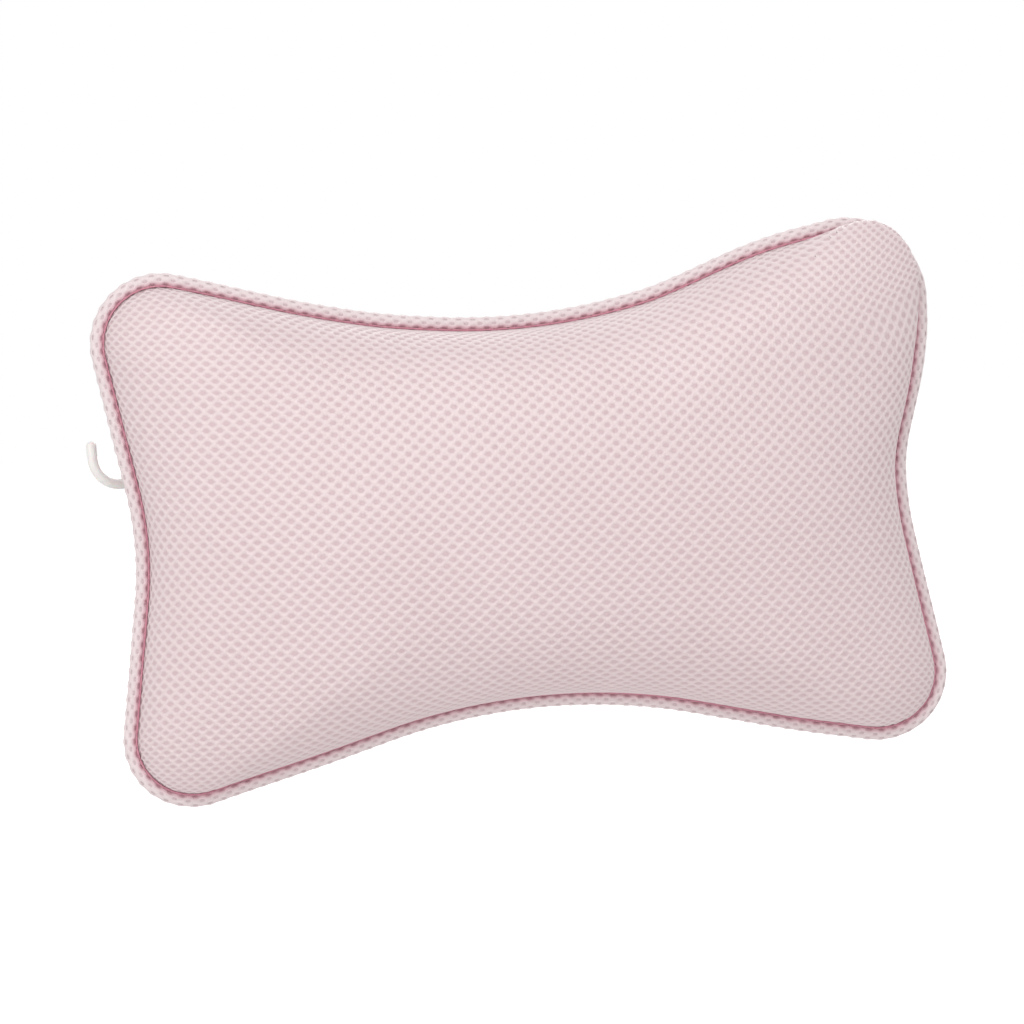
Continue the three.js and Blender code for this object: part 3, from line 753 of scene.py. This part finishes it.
def tape_ring(middle, turn, thick, along):
    """One section of the loop's webbing with rounded selvedges and raised ribs."""
    half, ply = 4.0, WEB_T / 2
    width, _ = across_and_out(turn)
    across = np.linspace(-half + 0.35, half - 0.35, 15)
    rib = weave(np.full(15, along), across, half) - RIB
    face = [(v, ply + h) for v, h in zip(across, rib)]
    back_side = [(v, -ply - h) for v, h in zip(across[::-1], rib[::-1])]
    edge = [(half - 0.08, ply * 0.6), (half, 0.0), (half - 0.08, -ply * 0.6)]
    section = face + edge + back_side + [(-v, -h) for v, h in edge]
    return np.array([middle + width * v + thick * h for v, h in section])


def tail(lift):
    """Sections of a sewn end of the loop, from its top down to where the neck begins."""
    rows = []
    for t in np.linspace(0, 1, 22):
        seat, turn, _, out = loop_seat(LOOP_LOW + LOOP_SEWN * (1 - t))
        rows.append((seat + out * lift, turn, out))
    return rows


bar = BAR - [0, SEAM_Y, 0]
_, away = across_and_out(HOOK_TURN)
inner_ply = tail(WEB_LIFT + WEB_T / 2)
outer_ply = [(m, turn, -out) for m, turn, out in tail(2 * WEB_LIFT + 1.5 * WEB_T)[::-1]]
fold = []
for angle in np.linspace(0, LOOP_FOLD, 30):
    thick = np.array([0, 0, math.sin(angle)]) + away * math.cos(angle)
    fold.append((bar - thick * (2.155 + WEB_T / 2), HOOK_TURN, thick))


def bridge(a, b, count=10):
    """The neck between a tail and the fold, bent without a crease."""
    way_a = np.array([0, 0, -1.0]) if a[0][2] > b[0][2] else np.array([0, 0, 1.0])
    rows = []
    span = np.linalg.norm(b[0] - a[0])
    for t in np.linspace(0, 1, count + 2)[1:-1]:
        h00, h10 = 2 * t ** 3 - 3 * t ** 2 + 1, t ** 3 - 2 * t ** 2 + t
        h01, h11 = -2 * t ** 3 + 3 * t ** 2, t ** 3 - t ** 2
        middle = h00 * a[0] + h01 * b[0] + (h10 * way_a + h11 * b[3]) * span
        thick = a[2] * (1 - t) + b[2] * t
        rows.append((middle, a[1] + (b[1] - a[1]) * smooth(t), thick / np.linalg.norm(thick)))
    return rows


def run_at(angle):
    """Direction of the webbing at a turn of the fold."""
    return away * math.sin(angle) - np.array([0, 0, 1.0]) * math.cos(angle)


first = fold[0] + (run_at(0.0),)
last = fold[-1] + (run_at(LOOP_FOLD),)
neck_in = bridge(inner_ply[-1], first)
neck_out = bridge(outer_ply[0], last[:3] + (-last[3],))[::-1]
rows = inner_ply + neck_in + fold + neck_out + outer_ply
middles = np.array([r[0] for r in rows])
along = np.concatenate([[0], np.cumsum(np.linalg.norm(np.diff(middles, axis=0), axis=1))])
rings = [tape_ring(m, turn, thick, s) for (m, turn, thick), s in zip(rows, along)]
loop_tape = cast("loop_tape", [rings[0].mean(0)] + rings + [rings[-1].mean(0)])


def tail_place(dx, dz):
    """Point on the loop's outer ply for a flat place on its sewn part."""
    seat, _, width, out = loop_seat(LOOP_LOW + dz)
    return seat + out * 2 * (WEB_LIFT + WEB_T) + width * dx


def tail_up(dx, dz):
    return loop_seat(LOOP_LOW + dz)[3]


corners = [(-2.9, 1.2), (2.9, 1.2), (2.9, 8.8), (-2.9, 8.8), (-2.9, 1.2), (2.9, 8.8)]
stitches = stitch_run(corners, tail_place, tail_up, 1.9)
stitches += stitch_run([(2.9, 1.2), (-2.9, 8.8)], tail_place, tail_up, 1.9)
loop_thread = sewn("loop_stitches", stitches)


def rounded_path(half, top, bottom, radius, per_corner=9, per_side=8):
    """A rectangle with round corners, as points in the hook's plane, with the same count for any size."""
    points = []
    centres = [(half - radius, top - radius, 0), (-half + radius, top - radius, 90),
               (-half + radius, bottom + radius, 180), (half - radius, bottom + radius, 270)]
    for x, z, start in centres:
        a = np.radians(np.linspace(start, start + 90, per_corner))
        points.append(np.stack([x + radius * np.cos(a), z + radius * np.sin(a)], 1))
    out = []
    for k in range(4):
        out.append(points[k])
        p, q = points[k][-1], points[(k + 1) % 4][0]
        out.append(p + (q - p) * np.linspace(0, 1, per_side + 2)[1:-1, None])
    return np.concatenate(out)


def hook_mesh():
    """The flat eye with bevelled edges, and the round wire of the J, upright about the eye's bar."""
    outer = rounded_path(7.5, 1.5, -6.655, 2.0)
    inner = rounded_path(4.5, -1.5, -3.655, 0.5)
    bevel, tip_height = 0.8, WIRE_R * 0.9
    rings = []
    for o, i in zip(outer, inner):
        wide = np.linalg.norm(o - i)
        way = (o - i) / wide
        section = []
        for sx, sy in ((1, 1), (0, 1), (0, -1), (1, -1)):
            mx, my = (wide - bevel if sx else bevel), sy * (1.5 - bevel)
            start = {(1, 1): 0, (0, 1): 90, (0, -1): 180, (1, -1): 270}[sx, sy]
            for a in np.radians(np.linspace(start, start + 90, 6)):
                section.append((mx + bevel * math.cos(a), my + bevel * math.sin(a)))
        rings.append(np.array([[i[0] + way[0] * t, h, i[1] + way[1] * t] for t, h in section]))
    eye = skin(rings, loop=True)
    path = []
    for z in np.linspace(-5.0, -SHANK_DROP, 26):
        path.append((0.0, z, 0.0))
    for a in np.linspace(0, math.pi, 44)[1:]:
        path.append((-BEND_R + BEND_R * math.cos(a), -SHANK_DROP - BEND_R * math.sin(a), -a))
    for z in np.linspace(-SHANK_DROP, -SHANK_DROP + TIP_RISE, 8)[1:]:
        path.append((-2 * BEND_R, z, -math.pi))
    tip = path[-1]
    rings, turn = [], turns_round(28)

    def section(x, z, a, radius):
        side = np.array([math.cos(a), 0, math.sin(a)])
        return np.array([x, 0, z]) + radius * (np.outer(np.cos(turn), side) + np.outer(np.sin(turn), Y))

    for x, z, a in path:
        flare = 0.35 * math.exp(-((z + 6.4) / 1.4) ** 2) if x == 0 else 0.0
        rings.append(section(x, z, a, WIRE_R + flare))
    for lift in np.radians(np.linspace(0, 90, 9))[1:-1]:
        rings.append(section(tip[0], tip[1] + tip_height * math.sin(lift), tip[2], WIRE_R * math.cos(lift)))
    start = section(0.0, path[0][1], 0.0, WIRE_R).mean(0)
    wire = skin([start] + rings + [np.array([tip[0], 0, tip[1] + tip_height])])
    return joined([eye, wire])


points, faces = hook_mesh()
c, s = math.cos(HOOK_TURN), math.sin(HOOK_TURN)
points = np.stack([c * points[:, 0] - s * points[:, 1], s * points[:, 0] + c * points[:, 1], points[:, 2]], 1) + BAR
hook_piece = make("hook_moulding", points, faces)


# ---------------- suction cups
def cup_profile():
    """Radius and y from the middle of the hollow round the rim to the middle of the head."""
    out = [(r, -7.0 * (1 - (r / 25.5) ** 2)) for r in np.linspace(0, 25.5, 26)]
    out += [(25.9, -0.02), (26.5, 0.0), (26.85, -0.12), (27.0, -0.5), (26.86, -0.86), (26.5, -1.12)]
    t = np.linspace(0, 1, 22)[1:]
    out += [(26.5 - 17.6 * v, -1.12 - 7.6 * v ** 1.12) for v in t]
    out += [(8.2, -9.15), (7.7, -9.6), (7.5, -10.2), (7.5, -11.2), (7.35, -11.55), (7.0, -11.7)]
    out += [(3.7, -11.7), (3.35, -11.85), (3.2, -12.2), (3.2, -13.1), (3.35, -13.4), (3.7, -13.5)]
    out += [(5.9, -13.5), (6.3, -13.62), (6.5, -13.95), (6.4, -14.35), (5.3, -15.5), (4.6, -15.95), (4.0, -16.1)]
    return out + [(2.0, -16.1), (0.0, -16.1)]


def cup_body(name, cx, cz, way):
    """A suction cup with its pull tab, up on an upper strap and down on a lower one."""
    tab_half, tab_root, tab_end, around = 4.5, 25.9, 30.5, 96
    turn = turns_round(around)
    rings = []
    for r, y in cup_profile():
        if r == 0:
            rings.append(np.array([[0, y, 0]]))
        else:
            rings.append(np.stack([r * np.cos(turn), np.full(around, y), r * np.sin(turn)], 1))
    bell = skin(rings)
    outline = [(-tab_half, tab_root), (tab_half, tab_root)]
    a = np.linspace(0, math.pi, 25)
    outline += [(tab_half * math.cos(v), tab_end + tab_half * math.sin(v)) for v in a]
    outline = np.array(outline)
    middle = np.array([0, 29.0])
    rings = [np.array([[middle[0], -0.4, middle[1]]])]
    for shrink, y in ((0.9, -0.4), (0.97, -0.46), (1.0, -0.65), (1.0, -1.3), (0.97, -1.5), (0.9, -1.6)):
        p = middle + (outline - middle) * shrink
        rings.append(np.stack([p[:, 0], np.full(len(p), y), p[:, 1]], 1))
    rings.append(np.array([[middle[0], -1.6, middle[1]]]))
    tab = skin(rings)
    points, faces = joined([bell, tab])
    points = points * [1, 1, way] if way > 0 else points * [-1, 1, -1]
    return make(name, points + [cx, 0, cz], faces)


cups = [cup_body("cup_" + label, sx * CUP_X, sz * CUP_Z, sz) for label, sx, sz in CORNERS_OF_PILLOW]

# ---------------- materials
def linear(r, g, b):
    def one(c):
        c /= 255
        return c / 12.92 if c <= 0.04045 else ((c + 0.055) / 1.055) ** 2.4
    return (one(r), one(g), one(b), 1.0)


class Nodes:
    """A material and the nodes that feed its shader."""

    def __init__(self, name):
        self.material = bpy.data.materials.new(name)
        self.material.use_nodes = True
        self.tree = self.material.node_tree
        self.shader = self.tree.nodes["Principled BSDF"]
        self.where = self.add("ShaderNodeTexCoord").outputs["Object"]

    def add(self, kind, inputs=None, **values):
        node = self.tree.nodes.new(kind)
        for key, value in values.items():
            setattr(node, key, value)
        for key, value in (inputs or {}).items():
            self.feed(value, node.inputs[key])
        return node

    def link(self, a, b):
        self.tree.links.new(a, b)

    def feed(self, value, socket):
        """Sets a number or a colour in a socket, or links another node's output to it."""
        if isinstance(value, (int, float, tuple)):
            socket.default_value = value
        else:
            self.link(value, socket)

    def set(self, **values):
        for key, value in values.items():
            self.shader.inputs[key.replace("_", " ")].default_value = value

    def noise(self, scale, detail):
        inputs = {"Scale": scale, "Detail": detail, "Roughness": 0.5, "Vector": self.where}
        return self.add("ShaderNodeTexNoise", inputs).outputs["Fac"]

    def cells(self, scale):
        return self.add("ShaderNodeTexVoronoi", {"Scale": scale, "Vector": self.where}).outputs["Distance"]

    def ramp(self, value, low, high, frm=0.0, to=1.0):
        inputs = {"From Min": low, "From Max": high, "To Min": frm, "To Max": to, "Value": value}
        return self.add("ShaderNodeMapRange", inputs).outputs["Result"]

    def mix(self, factor, a, b):
        node = self.add("ShaderNodeMix", data_type="RGBA")
        for value, socket in ((factor, 0), (a, 6), (b, 7)):
            self.feed(value, node.inputs[socket])
        return node.outputs[2]

    def maths(self, kind, a, b):
        return self.add("ShaderNodeMath", {0: a, 1: b}, operation=kind).outputs[0]

    def bump(self, height, strength, distance):
        node = self.add("ShaderNodeBump", {"Strength": strength, "Distance": distance, "Height": height})
        self.link(node.outputs["Normal"], self.shader.inputs["Normal"])

    def colour(self, socket):
        self.link(socket, self.shader.inputs["Base Color"])

    def rough(self, socket):
        self.link(socket, self.shader.inputs["Roughness"])


def yarn_material(name, light, deep, loop=1500.0, rough=0.62, bump=0.35, sheen=0.25, painted_shade=None):
    """Knitted yarn: small loops, a slow drift of colour over the cloth, and painted shade by the mesh's tint."""
    m = Nodes(name)
    loops = m.cells(loop)
    drift = m.noise(22, 3)
    by_loops = m.maths("MULTIPLY", m.ramp(loops, 0.1, 0.75), 0.55)
    by_drift = m.maths("MULTIPLY", m.ramp(drift, 0.3, 0.7), 0.45)
    colour = m.mix(m.maths("ADD", by_loops, by_drift), light, deep)
    if painted_shade:
        colour = m.mix(m.add("ShaderNodeAttribute", attribute_name="tint").outputs["Fac"], colour, painted_shade)
    m.colour(colour)
    m.rough(m.ramp(loops, 0.0, 0.8, rough - 0.1, rough + 0.18))
    m.bump(loops, bump, 0.0003)
    m.set(Sheen_Weight=sheen, Sheen_Roughness=0.4)
    return m.material


# Strand yarn: its darker colour is painted shade down each hole's wall
NET = yarn_material(
    "air_mesh_strands", linear(229, 213, 214), linear(222, 205, 206), rough=0.4, sheen=0.1,
    painted_shade=linear(211, 191, 194))
# The ground's own deeper rose, made darker still as painted shade in the holes
GROUND = yarn_material(
    "air_mesh_ground", linear(211, 189, 192), linear(203, 180, 183), loop=1100, rough=0.8, sheen=0.1)
# Piping yarn: its darker rose is painted shade and painted reflection where it turns into the groove
PIPE = yarn_material(
    "piping_strands", linear(228, 214, 215), linear(221, 206, 207), rough=0.45, sheen=0.1,
    painted_shade=linear(220, 178, 187))
# The piping's ground: its darker rose is painted shade and painted reflection where it turns into the groove
PIPE_GROUND = yarn_material(
    "piping_ground_yarn", linear(216, 197, 200), linear(208, 188, 191), rough=0.8, sheen=0.1,
    painted_shade=linear(212, 162, 174))
# Deep rose of the seam's stitch dashes, partly the thread's own colour and partly painted shade and painted rose
# reflection of the groove's crevice
ROSE_AND_SHADE = yarn_material("seam_rose_and_shade", linear(210, 148, 162), linear(198, 132, 148), loop=1800, rough=0.7)
LINING = yarn_material("lining_weave", linear(240, 228, 231), linear(230, 214, 219), loop=2200, rough=0.8)
FIBRE = yarn_material("fibre_tufts", linear(246, 246, 243), linear(234, 234, 230), loop=220, rough=0.95, bump=0.8)
CORD = yarn_material("cord_twist", linear(242, 238, 234), linear(228, 222, 217), loop=1600, rough=0.85)
WEB = yarn_material("webbing_yarn", linear(228, 198, 205), linear(216, 182, 190), loop=1300, rough=0.7)
THREAD = yarn_material("sewing_thread", linear(222, 176, 187), linear(208, 158, 171), loop=2600, rough=0.5)

m = Nodes("hook_plastic")
drift = m.noise(60, 3)
m.colour(m.mix(drift, linear(234, 233, 230), linear(228, 227, 224)))
m.rough(m.ramp(m.noise(420, 2), 0.3, 0.7, 0.34, 0.44))
m.bump(m.noise(900, 2), 0.05, 0.0002)
m.set(Subsurface_Weight=0.15, Subsurface_Scale=0.002)
PLASTIC = m.material

m = Nodes("cup_vinyl")
flow = m.noise(90, 3)
m.colour(m.mix(flow, linear(236, 243, 242), linear(226, 235, 235)))
m.rough(m.ramp(m.noise(300, 2), 0.3, 0.7, 0.07, 0.14))
m.bump(flow, 0.06, 0.0006)
m.set(Transmission_Weight=0.86, IOR=1.46)
VINYL = m.material


def dressed(obj, material, slot, *nodes, body="pillow"):
    """Gives a piece its material and body, and hides the CAD nodes that it replaces. The slot is not used."""
    obj.data.materials.append(material)
    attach(obj, body)
    if nodes:
        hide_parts(*nodes)


dressed(front_net, NET, "air_mesh", "front_panel")
dressed(back_net, NET, "air_mesh", "back_panel")
dressed(front_ground, GROUND, "air_mesh", "front_panel")
dressed(back_ground, GROUND, "air_mesh", "back_panel")
dressed(piping_net, PIPE, "piping_mesh", "piping_cover")
dressed(piping_ground, PIPE_GROUND, "piping_mesh", "piping_cover")
dressed(piping_core, CORD, "cord_yarn", "piping_cord")
dressed(seam_front, ROSE_AND_SHADE, "piping_mesh")
dressed(seam_back, ROSE_AND_SHADE, "piping_mesh")
dressed(front_lining, LINING, "lining_cloth", "lining_front")
dressed(back_lining, LINING, "lining_cloth", "lining_back")
dressed(filling, FIBRE, "fibre", "fibre_filling")

for k, (label, sx, sz) in enumerate(CORNERS_OF_PILLOW):
    dressed(straps[k], WEB, "webbing", "cup_strap_" + label)
    dressed(strap_threads[k], THREAD, "webbing")
    dressed(eyelet_threads[k], THREAD, "webbing")
    dressed(cups[k], VINYL, "cup_vinyl", "suction_cup_" + label, body="cup_" + label)
dressed(loop_tape, WEB, "webbing", "hook_loop")
dressed(loop_thread, THREAD, "webbing")
dressed(hook_piece, PLASTIC, "hook_plastic", "hook", body="hanging_hook")


def cloth_cut(panel, depth):
    """Width and length, and area, in metres, of the flat cloth that a layer of a panel was cut from."""
    p = (panel.points - panel.normals * depth) * MM
    on = np.roll(p, -1, 0)
    area = np.linalg.norm(np.cross(on[:, 1:] - p[:, :-1], p[:, 1:] - on[:, :-1]), axis=2).sum() / 2
    width, length = np.ptp(panel.flat[:, :, 0]) * MM, np.ptp(panel.flat[:, :, 1]) * MM
    return (float(width), float(length)), float(area)


for piece, panel in ((front_lining, front), (back_lining, back)):
    cut, area = cloth_cut(panel, (LINING_TOP + LINING_FOOT) / 2)

# ---------------- floor, light, camera
bpy.ops.mesh.primitive_plane_add(size=8, location=(0, 0, -0.165))
floor = bpy.context.object
floor.name = "floor"
m = Nodes("floor_white")
m.set(Roughness=0.9)
m.shader.inputs["Base Color"].default_value = (0.86, 0.86, 0.86, 1)
m.shader.inputs["Specular IOR Level"].default_value = 0.0
path = m.add("ShaderNodeLightPath")
strength = m.maths("MULTIPLY", path.outputs["Is Camera Ray"], 0.56)
glow = m.add("ShaderNodeEmission", {"Color": (1, 1, 1, 1), "Strength": strength})
both = m.add("ShaderNodeAddShader", {0: m.shader.outputs[0], 1: glow.outputs[0]})
m.link(both.outputs[0], m.tree.nodes["Material Output"].inputs["Surface"])
floor.data.materials.append(m.material)
floor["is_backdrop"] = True

world = bpy.data.worlds.new("studio")
bpy.context.scene.world = world
world.use_nodes = True
tree = world.node_tree
background = tree.nodes["Background"]
path = tree.nodes.new("ShaderNodeLightPath")
# The backdrop is plain white where it is seen, straight or through a cup, and a softer warm light elsewhere
seen = path.outputs["Is Camera Ray"]
for ray in ("Is Glossy Ray", "Is Transmission Ray"):
    most = tree.nodes.new("ShaderNodeMath")
    most.operation = "MAXIMUM"
    tree.links.new(seen, most.inputs[0])
    tree.links.new(path.outputs[ray], most.inputs[1])
    seen = most.outputs[0]
mix = tree.nodes.new("ShaderNodeMix")
mix.data_type = "FLOAT"
tree.links.new(seen, mix.inputs[0])
mix.inputs[2].default_value = 0.72
mix.inputs[3].default_value = 1.0
tree.links.new(mix.outputs[0], background.inputs["Strength"])
tint = tree.nodes.new("ShaderNodeMix")
tint.data_type = "RGBA"
tree.links.new(seen, tint.inputs["Factor"])
tint.inputs[6].default_value = (1, 0.984, 0.985, 1)
tint.inputs[7].default_value = (1, 1, 1, 1)
tree.links.new(tint.outputs[2], background.inputs["Color"])


def softbox(name, place, size, power):
    """A square area light that faces the pillow."""
    aim = (0, -0.05, 0)
    light = bpy.data.lights.new(name, "AREA")
    light.shape = "SQUARE"
    light.size = size
    light.energy = power
    obj = bpy.data.objects.new(name, light)
    obj.location = place
    obj.rotation_euler = (Vector(aim) - Vector(place)).to_track_quat("-Z", "Y").to_euler()
    bpy.context.scene.collection.objects.link(obj)


softbox("key", (-0.1, -1.3, 1.45), 1.2, 11.4)
softbox("fill", (-1.1, -1.6, 0.05), 0.5, 6.8)
softbox("back", (0.8, 1.6, 0.9), 1.2, 14)

# The camera fitted to the photo: its angles, distance in metres, lens, and the pixel column of the pillow's middle
azimuth, elevation, roll = math.radians(-7.8), math.radians(4.0), math.radians(4.45)
CAMERA_AWAY, LENS, MIDDLE_COLUMN, PHOTO_WIDTH = 1.592, 150.9, 525.3, 1024
back_way = Vector((
    math.sin(azimuth) * math.cos(elevation), -math.cos(azimuth) * math.cos(elevation), math.sin(elevation)))
camera = bpy.data.objects.new("camera", bpy.data.cameras.new("camera"))
camera.location = Vector((0, SEAM_Y * MM, 0)) + back_way * CAMERA_AWAY
camera.rotation_mode = "QUATERNION"
camera.rotation_quaternion = (-back_way).to_track_quat("-Z", "Y") @ Quaternion((0, 0, 1), -roll)
camera.data.lens = LENS
camera.data.sensor_width = 36
camera.data.shift_x = -(MIDDLE_COLUMN - PHOTO_WIDTH / 2) / PHOTO_WIDTH
camera.data.clip_start, camera.data.clip_end = 0.05, 20
bpy.context.scene.collection.objects.link(camera)
bpy.context.scene.camera = camera
bpy.context.scene.view_settings.view_transform = "Standard"

low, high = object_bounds()
